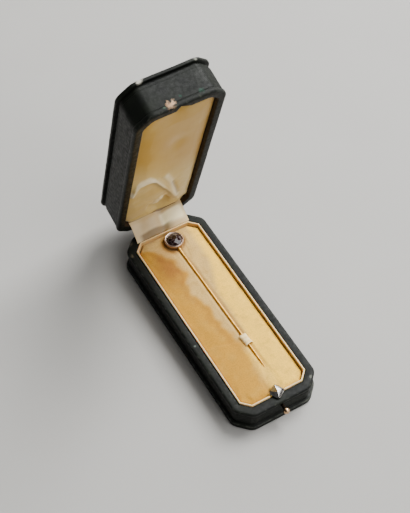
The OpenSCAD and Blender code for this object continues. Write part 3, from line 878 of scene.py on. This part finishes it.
class TIEPIN_OT_lining(bpy.types.Operator):
    """Model the padded satin lining of the lid with its soft folds and its dents over pin and catch"""

    bl_idname = "tiepin.lining"
    bl_label = "Satin lining"

    def execute(self, context):
        sizes, colours = context.scene.case_sizes, context.scene.finish_colours
        folds = sizes.satin_folds / MM
        half_width, half_length = RIM_HIGH[0], RIM_HIGH[1]
        cut = sizes.corner_cut / MM
        outline = (half_width, half_length, half_length, cut)
        tab_x, tab_y = (TAB_LOW[0] + TAB_HIGH[0]) / 2, (TAB_LOW[1] + TAB_HIGH[1]) / 2
        plane = CASE_HIGH[2] + (sizes.lid_gap + sizes.lining_sink) / MM
        back = plane + (sizes.lid_depth - sizes.lining_sink) / MM - 2.6
        # The long fold, its side fold, the hollow beside that and a raised tuft, as (x, y) on the closed lid.
        main = [(-12.8, 16.4), (-12.1, 11.5), (-10.7, 8.4), (-8.6, 7.6), (-6.5, 7.1), (-4.1, 8.7)]
        main += [(-1.9, 12.7), (1.0, 18.5), (4.0, 23.9), (6.7, 30.6), (10.0, 37.5)]
        peak = [(0.3, 8.3), (2.6, 13.7), (4.5, 20.0), (5.9, 25.7), (7.7, 31.6)]
        hollow = [(4.6, 17.0), (6.9, 24.0), (8.3, 29.9)]
        tuft = [(1.3, 31.0), (1.7, 34.8), (1.2, 37.7)]

        def past_fold(x, y):
            """How far each point lies past the long fold, toward the hinge."""
            return y - np.interp(x, *zip(*main))

        def height(points):
            """Height of the closed lid's satin: it hangs by its folds, less what pin and catch press in."""
            x, y = points[:, 0], points[:, 1]
            inside = np.clip(edge_distance(points, outline), 0, None)
            proud = -0.55 * (1 - smoothstep(0, 1.6, inside)) + 0.25 * smoothstep(0.5, 9, inside)
            shapes = [(main, 0.8, 1.2), (peak, 0.5, 1.0), (hollow, -0.4, 0.7), (tuft, 0.9, 1.5)]
            for curve, share, width in shapes:
                proud += share * folds * hump(curve_distance(points, curve), width)
            proud -= 0.7 * folds * smoothstep(0.2, 3.0, past_fold(x, y)) * smoothstep(44, 40, y)
            # The dents over the stone and over the head of the catch.
            proud -= 1.9 * smoothstep(HEAD_R + 2.6, HEAD_R - 0.2, np.hypot(x - HEAD_X, y - HEAD_Y + 0.7))
            proud -= 1.6 * hump(x, 2.8) * hump(y - CATCH_Y - 0.4, 2.8)
            loose = smoothstep(-2, 24, y)
            proud += ripple(points, 7, 0.35, 4.0) * (0.25 + 0.75 * loose)
            proud += ripple(points, 2.6, 0.10, 8.0) * loose
            # The shallow track over the shaft, and the dent over its tab.
            beside, past = along_pin(points)
            proud -= hump(beside, 1.4) * smoothstep(-78, -72, past) * np.clip(proud - 0.6, 0, None)
            proud -= 0.65 * hump(x - tab_x, 3.6) * hump(y - tab_y, 5.0)
            return plane - proud

        def held(points):
            """Where the satin is glued: along its edge and on its back."""
            return (points[:, 2] > plane + 2.4) | (edge_distance(points, outline) < 0.3)

        piece = cushion("satin_cushion", half_width, half_length, cut, 0.4, back, height)
        plump(piece, held, 0.35)
        points = points_of(piece)
        x, y = points[:, 0], points[:, 1]
        inside, past = edge_distance(points, outline), past_fold(x, y)
        # Painted highlight: the tops of the long fold, the side fold and the tuft, and the edges where the
        # satin rolls over, are painted pale.
        wide = 1.6 + 3.4 * smoothstep(-3, -8, x)
        crest = smoothstep(-wide, -0.35 * wide, past) * smoothstep(1.0, 0.0, past) * smoothstep(8, -2, x)
        crest = crest + 0.7 * hump(curve_distance(points, peak), 1.2)
        crest = crest + 1.5 * hump(curve_distance(points, tuft), 1.7)
        corner = smoothstep(7, 10, x) * smoothstep(33, 37, y)
        crest = crest + smoothstep(1.1, 0.4, inside) * np.maximum(corner, 0.6 * smoothstep(-10, -12, x))
        behind = smoothstep(0.0, 1.4, past) * smoothstep(6.5, 1.5, past)
        shade = 0.4 * behind * smoothstep(-10, -7, x) * smoothstep(9, 3, x)
        shade = shade + 0.8 * hump(curve_distance(points, hollow), 0.8) + 0.9 * smoothstep(42.6, 43.6, y)
        paint(piece, "shade", np.clip(0.7 * shade, 0, 1))
        # The satin is painted paler towards the hinge and the left, and a little darker past the long fold as
        # painted shade.
        paint(piece, "pale", 0.85 * smoothstep(-10, 14, y - 0.5 * x) - 0.1 * smoothstep(1.0, 3.0, past))
        paint(piece, "crest", np.clip(crest, 0, 1))
        open_lid(piece)
        satin = silk_satin("silk_satin_lining", colours.satin, colours.satin_pale, colour("#7c5f30"))
        finish_piece(piece, satin, "lid", angle=80, replaces=["lid_lining"])
        return {"FINISHED"}


class TIEPIN_OT_ribbon(bpy.types.Operator):
    """Model the satin ribbon that spans the hinge"""

    bl_idname = "tiepin.ribbon"
    bl_label = "Hinge ribbon"

    def execute(self, context):
        half_width, flat_length, thick = box_mm("hinge_ribbon")[1][0], 10.2, 0.14
        # From the back of the rim up to the foot of the lid's lining: (y, z).
        route = [(44.35, 10.9), (44.6, 11.3), (45.9, 12.5), (47.6, 14.0), (49.2, 15.35), (50.1, 15.9)]
        route += [(50.9, 16.15), (51.5, 16.3), (52.1, 16.4)]
        piece = grid("satin_ribbon", 56, 40)
        flat = points_of(piece) * MM
        across, share = flat[:, 0], (flat[:, 1] + 1) / 2
        y, z = [np.interp(share * (len(route) - 1), range(len(route)), way) for way in zip(*route)]
        bow = np.sin(math.pi * share)
        sag = 0.35 * bow * (1 - 0.5 * across**2)
        wrinkle = 0.7 * hump(across - 0.05 - 0.16 * share, 0.16)
        wrinkle = wrinkle + 0.3 * np.sin(6.5 * across - 1.5 * share + 1.0)
        sag = sag + wrinkle * (0.3 + 0.7 * bow)
        x = half_width * across * (1 - 0.015 * bow)
        set_points(piece, np.column_stack([x, y + 0.5 * sag, z - 0.8 * sag]))
        modify(piece, "SOLIDIFY", thickness=thick * MM, offset=1)
        points = points_of(piece)
        # Share of the half width, from -1 to 1, and of the way from the rim to the lining, from 0 to 1.
        foot_y, top_y = 44.4, 52.1
        u, v = points[:, 0] / half_width, (points[:, 1] - foot_y) / (top_y - foot_y)
        # Painted highlight: the middle of the ribbon's right half is painted paler, where the light falls.
        bright = smoothstep(0.0, 0.22, u) * smoothstep(1.0, 0.8, u)
        bright = bright * smoothstep(0.1, 0.35, v) * smoothstep(0.86, 0.66, v)
        # Painted shade along the ribbon's foot, in the velvet's reflected gold, and a painted shadow at its
        # top under the satin's edge.
        foot = smoothstep(-0.9, -0.7, u) * smoothstep(0.6, 0.1, u) * smoothstep(0.34, 0.24, v - 0.06 * u)
        top = smoothstep(0.91, 0.94, v) + 0.35 * smoothstep(0.66, 0.9, v) * smoothstep(-0.1, 0.25, u)
        paint(piece, "pale", bright + 0.15)
        paint(piece, "shade", np.clip(0.85 * foot + top * smoothstep(0.9, 0.7, u), 0, 0.9))
        satin = silk_satin("silk_satin_ribbon", colour("#c8aa78"), colour("#fff0c0"), colour("#6a4c0a"))
        finish_piece(piece, satin, None, angle=80, replaces=["hinge_ribbon"])
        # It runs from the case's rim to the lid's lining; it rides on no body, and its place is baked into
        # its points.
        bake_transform(piece)
        return {"FINISHED"}


class TIEPIN_OT_tab(bpy.types.Operator):
    """Model the cotton tab that holds the shaft down"""

    bl_idname = "tiepin.tab"
    bl_label = "Pin tab"

    def execute(self, context):
        half_width, half_length, high = [(b - a) / 2 for a, b in zip(TAB_LOW, TAB_HIGH)]
        middle = [(a + b) / 2 * MM for a, b in zip(TAB_LOW[:2], TAB_HIGH[:2])]
        thick = 0.2
        piece = grid("cotton_tab", 24, 28)
        flat = points_of(piece) * MM
        u, v = flat[:, 0], flat[:, 1]
        arch = np.sqrt(np.clip(1 - np.abs(u) ** 2.6, 0, 1))
        frayed = ripple(flat * [1, 1, 0], 0.5, 0.25, 1.0)
        x = half_width * u * (1 - 0.05 * np.cos(3 * v))
        y = half_length * v * (1 - 0.04 * np.sin(4 * u + 1)) + 0.15 * frayed * np.abs(v)
        z = TAB_LOW[2] + (2 * high - thick - 0.02) * arch + 0.1 * frayed * arch
        set_points(piece, np.column_stack([x, y, z]))
        piece.data.transform(Matrix.Translation((*middle, 0)) @ Matrix.Rotation(math.radians(6), 4, "Z"))
        modify(piece, "SOLIDIFY", thickness=thick * MM, offset=1)
        modify(piece, "SUBSURF", levels=1, render_levels=1)
        finish_piece(piece, cotton_tape(), "case", angle=80, replaces=["pin_tab"])
        return {"FINISHED"}


class TIEPIN_OT_pin(bpy.types.Operator):
    """Model the pin: bezel, collar and tapered shaft"""

    bl_idname = "tiepin.pin"
    bl_label = "Tie pin"

    def execute(self, context):
        colours = context.scene.finish_colours
        low, high = PIN_LOW[2], PIN_HIGH[2]
        radius, inner = HEAD_R, STONE_R + 0.04
        floor = STONE_LOW[2] - 0.05
        cup = [(low, 0.4), (low, radius - 1.0), (low + 0.05, radius - 0.75), (low + 0.25, radius - 0.5)]
        cup += [(low + 0.6, radius - 0.3), (low + 1.2, radius - 0.12), (high - 0.9, radius - 0.02)]
        ring = [(high - 0.55, radius), (high - 0.25, radius - 0.05), (high - 0.07, radius - 0.18)]
        ring += [(high, radius - 0.32), (high - 0.06, radius - 0.48), (high - 0.3, inner + 0.02)]
        seat = [(high - 0.5, inner), (floor, inner), (floor, 0.4)]
        bezel = turned("bezel", cup + ring + seat, 96)
        on_pad(bezel)
        rose = metal("polished_rose_silver", colours.bezel, colour("#a89080"), 0.4, grit=1.5)
        finish_piece(bezel, rose, "case", replaces=["tie_pin"])
        shaft_r = 0.5
        neck = -radius
        tip = (PIN_LOW[1] - HEAD_Y) / math.cos(PIN_TURN)
        # Along the pin: (place past the neck, radius), the straight stem, and (place past the point, radius).
        collar = [(0.5, 0.3), (0.5, 0.74), (-0.15, 0.74), (-0.3, 0.6), (-0.42, 0.6), (-0.55, 0.75)]
        collar += [(-0.95, 0.75), (-1.15, 0.6), (-1.3, shaft_r)]
        stem = [(y, shaft_r) for y in np.linspace(neck - 4, tip + 9, 12)]
        taper = [(7, 0.97 * shaft_r), (5, 0.82 * shaft_r), (3, 0.6 * shaft_r), (1.2, 0.36 * shaft_r)]
        taper += [(0.3, 0.14), (0, 0.05)]
        marks = [(neck + y, r) for y, r in collar] + stem + [(tip + y, r) for y, r in taper]
        shaft = turned("pin_shaft", [(-y, r) for y, r in marks], 24)
        shaft.data.transform(Matrix.Rotation(math.radians(90), 4, "X"))
        on_pad(shaft, PAD_HIGH[2] + 0.15)
        gold = metal("polished_gold", colours.gold, colour("#b98f48"), 0.45, grit=3.0)
        finish_piece(shaft, gold, "case", replaces=["tie_pin"])
        return {"FINISHED"}


class TIEPIN_OT_stone(bpy.types.Operator):
    """Model the round stone with its table, crown and pavilion facets"""

    bl_idname = "tiepin.stone"
    bl_label = "Stone"

    def execute(self, context):
        base, top = STONE_LOW[2], STONE_HIGH[2]
        girdle = base + 1.3
        crown = top - girdle
        step = math.pi / 8
        # From the table down to the culet: corners, radius over the stone's, height and turn.
        rings = [
            (8, 0.36, top, 0),
            (8, 0.66, girdle + 0.66 * crown, step),
            (8, 0.86, girdle + 0.33 * crown, 0),
            (16, 1.0, girdle, step / 2),
            (16, 1.0, girdle - 0.15, step / 2),
            (8, 0.55, base + 0.45, step),
            (8, 0.12, base, 0),
        ]
        piece = empty_mesh("cut_stone")
        for corners, share, z, turn in rings:
            bpy.ops.mesh.primitive_circle_add(
                vertices=corners, radius=share * STONE_R * MM, location=(0, 0, z * MM), rotation=(0, 0, turn)
            )
        bpy.ops.mesh.select_all(action="SELECT")
        bpy.ops.mesh.convex_hull()
        bpy.ops.mesh.select_all(action="SELECT")
        bpy.ops.mesh.dissolve_limited(angle_limit=math.radians(1))
        whole = len(bmesh.from_edit_mesh(piece.data).faces)
        bpy.ops.mesh.select_all(action="SELECT")
        bpy.ops.mesh.bevel(offset=0.045 * MM, segments=1)
        bpy.ops.object.mode_set(mode="OBJECT")
        # The bevel's narrow faces, which are smaller than any facet, are marked as edges, which the material
        # paints as pale highlight lines.
        smallest_facet = sorted(face.area for face in piece.data.polygons)[-whole]
        line = piece.data.attributes.new("edge", "FLOAT", "FACE")
        line.data.foreach_set("value", [float(face.area < smallest_facet) for face in piece.data.polygons])
        on_pad(piece)
        stone = cut_stone(context.scene.finish_colours)
        finish_piece(piece, stone, "case", angle=1, replaces=["stone"])
        return {"FINISHED"}


class TIEPIN_OT_catch(bpy.types.Operator):
    """Model the faceted catch head on its post and the push button"""

    bl_idname = "tiepin.catch"
    bl_label = "Catch and button"

    def execute(self, context):
        colours = context.scene.finish_colours
        half, height = CATCH_HIGH[0] + 0.2, 2.2
        under = CATCH_HIGH[2] - height
        deselect()
        bpy.ops.mesh.primitive_cylinder_add(vertices=4, radius=1.18 * half * MM, depth=height * MM)
        head = named("catch_head")
        bpy.ops.object.mode_set(mode="EDIT")
        # A cut is a point of its plane, the way it faces and how far it leans up. Four upright cuts take off
        # the corners, and four slope down from the ridge.
        ridge = (0, -0.9 * MM, height / 2 * MM)
        cuts = []
        for a in np.radians([0, 90, 180, 270]):
            cuts.append(((half * MM * math.cos(a), half * MM * math.sin(a), 0), a, 0.0))
        for angles, slope in (([45, 135], 22), ([225, 315], 44)):
            cuts += [(ridge, a, math.cos(math.radians(slope))) for a in np.radians(angles)]
        for through, a, lift in cuts:
            flat = math.sqrt(1 - lift**2)
            normal = (math.cos(a) * flat, math.sin(a) * flat, lift)
            bpy.ops.mesh.select_all(action="SELECT")
            bpy.ops.mesh.bisect(plane_co=through, plane_no=normal, clear_outer=True, use_fill=True)
        bpy.ops.mesh.select_all(action="SELECT")
        bpy.ops.mesh.bevel(offset=0.05 * MM, segments=2)
        bpy.ops.object.mode_set(mode="OBJECT")
        head.data.transform(Matrix.Rotation(CATCH_TURN, 4, "Z"))
        head.data.transform(Matrix.Translation((0, CATCH_Y * MM, (under + height / 2) * MM)))
        foot, into_head = CATCH_LOW[2], under + 0.1
        post = block((2, 2, into_head - foot), (0, RIM_LOW[1] + 1.1, (into_head + foot) / 2))
        modify(post, "BEVEL", width=0.15 * MM, segments=2)
        combine(head, post, "UNION")
        steel = metal("polished_steel", colours.steel, colour("#8e8984"), 0.18)
        finish_piece(head, steel, "catch", angle=25, replaces=["catch_post"])

        radius = (BUTTON_HIGH[0] - BUTTON_LOW[0]) / 2
        axis_z = (BUTTON_LOW[2] + BUTTON_HIGH[2]) / 2
        front, end = BUTTON_LOW[1], BUTTON_HIGH[1]
        neck = front + 1.5 * radius
        arc = np.linspace(0.12, 2.45, 14)
        ball = [(front + radius * (1 - math.cos(a)), radius * math.sin(a)) for a in arc]
        rod = [(neck, 0.5), (neck + 0.1, 0.7), (end - 0.1, 0.7), (end, 0.6)]
        bright = metal("lacquered_brass", colours.button, colour("#c29a72"), 0.24, grit=1.0)
        # Painted shade: the stem is painted near-black, where it sits in shadow behind the ball.
        shaded_brass = metal("tarnished_brass", colour("#1e1812"), colour("#120e0a"), 0.6)
        for name, profile, brass in (("push_button_ball", ball, bright), ("push_button_stem", rod, shaded_brass)):
            part = turned(name, [(-y, r) for y, r in profile], 40)
            part.data.transform(Matrix.Rotation(math.radians(90), 4, "X"))
            part.data.transform(Matrix.Translation((0, 0, axis_z * MM)))
            finish_piece(part, brass, "catch", replaces=["push_button"])
        return {"FINISHED"}


class TIEPIN_OT_hinge(bpy.types.Operator):
    """Finish the brass hinge behind the ribbon"""

    bl_idname = "tiepin.hinge"
    bl_label = "Hinge"

    def execute(self, context):
        brass = metal("aged_brass", context.scene.finish_colours.brass, colour("#6e5630"), 0.34, grit=0.8)
        for name in ("hinge_leaf_case", "hinge_leaf_lid", "hinge_pin"):
            part = frame["nodes"][name]
            part.data.materials.clear()
            part.data.materials.append(brass)
        return {"FINISHED"}


class TIEPIN_OT_stage(bpy.types.Operator):
    """Set the pale floor, the soft lights and the camera"""

    bl_idname = "tiepin.stage"
    bl_label = "Stage"

    def execute(self, context):
        deselect()
        bpy.ops.mesh.primitive_plane_add(size=6)
        floor = bpy.context.object
        floor.name = "floor"
        material, tree, shader, place = start_material("matt_paper", Roughness=0.85)
        cloud = add(tree, "TexNoise", "Fac", {"Vector": place, "Scale": per_mm(40)})
        paper = {"Fac": cloud, "Color1": colour("#a7a5a1"), "Color2": colour("#abaaa6")}
        drive(tree, shader, Base_Color=add(tree, "MixRGB", "Color", paper))
        floor.data.materials.append(material)
        floor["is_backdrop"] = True
        # Name, place, what it aims at, size and power.
        lamps = [
            ("key_light", (0.8, 0.25, 1.0), (0, 0, 0.02), 0.75, 37.0),
            ("top_light", (0.1, 0.7, 1.05), (0, 0.02, 0.02), 0.6, 3.0),
            ("front_light", (0.6, -0.75, 0.95), (0, 0.03, 0.03), 1.3, 17.0),
            ("low_light", (0.85, 0.83, 0.36), (0, 0, 0.02), 0.4, 4.0),
        ]
        for name, place, aim, size, power in lamps:
            data = bpy.data.lights.new(name, "AREA")
            data.size = size
            data.energy = power
            lamp = bpy.data.objects.new(name, data)
            lamp.location = place
            lamp.rotation_euler = (Vector(aim) - Vector(place)).to_track_quat("-Z", "Y").to_euler()
            bpy.context.collection.objects.link(lamp)
        world = bpy.data.worlds.new("studio")
        world.use_nodes = True
        world.node_tree.nodes["Background"].inputs["Color"].default_value = colour("#f2f2f4")
        world.node_tree.nodes["Background"].inputs["Strength"].default_value = 0.08
        context.scene.world = world
        camera = bpy.data.cameras.new("camera")
        camera.lens = 80.7
        camera.sensor_width = 36
        camera.shift_x, camera.shift_y = 0.0045, 0.1158
        camera.clip_start = 0.01
        view = bpy.data.objects.new("camera", camera)
        eye = Vector((-0.13267, -0.21163, 0.39133))
        target = Vector((-0.00693, 0.00023, 0.01122))
        roll = Matrix.Rotation(math.radians(0.57), 3, "Z")
        view.location = eye
        view.rotation_euler = ((target - eye).to_track_quat("-Z", "Y").to_matrix() @ roll).to_euler()
        bpy.context.collection.objects.link(view)
        context.scene.camera = view
        return {"FINISHED"}


class TIEPIN_PT_panel(bpy.types.Panel):
    """Lists the sizes, the colours and the pieces."""

    bl_idname = "TIEPIN_PT_panel"
    bl_label = "Tie Pin"
    bl_space_type = "VIEW_3D"
    bl_region_type = "UI"
    bl_category = "Tie Pin"

    def draw(self, context):
        for group in (context.scene.case_sizes, context.scene.finish_colours):
            column = self.layout.column()
            for name in group.__annotations__:
                column.prop(group, name)
        for operator in OPERATORS:
            self.layout.operator(operator.bl_idname)


OPERATORS = (
    TIEPIN_OT_lower_case,
    TIEPIN_OT_rim,
    TIEPIN_OT_pad,
    TIEPIN_OT_lid,
    TIEPIN_OT_lining,
    TIEPIN_OT_ribbon,
    TIEPIN_OT_tab,
    TIEPIN_OT_pin,
    TIEPIN_OT_stone,
    TIEPIN_OT_catch,
    TIEPIN_OT_hinge,
    TIEPIN_OT_stage,
)
GROUPS = (CaseSizes, FinishColours)


def register():
    for item in GROUPS + OPERATORS + (TIEPIN_PT_panel,):
        bpy.utils.register_class(item)
    bpy.types.Scene.case_sizes = bpy.props.PointerProperty(type=CaseSizes)
    bpy.types.Scene.finish_colours = bpy.props.PointerProperty(type=FinishColours)


def unregister():
    del bpy.types.Scene.case_sizes
    del bpy.types.Scene.finish_colours
    for item in reversed(GROUPS + OPERATORS + (TIEPIN_PT_panel,)):
        bpy.utils.unregister_class(item)


def main():
    register()
    for operator in OPERATORS:
        group, name = operator.bl_idname.split(".")
        getattr(getattr(bpy.ops, group), name)()
    boxes = {"cad": CAD_BOX, "visual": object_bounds()}
    plain = {name: [[float(c) for c in corner] for corner in box] for name, box in boxes.items()}


if __name__ == "__main__":
    main()
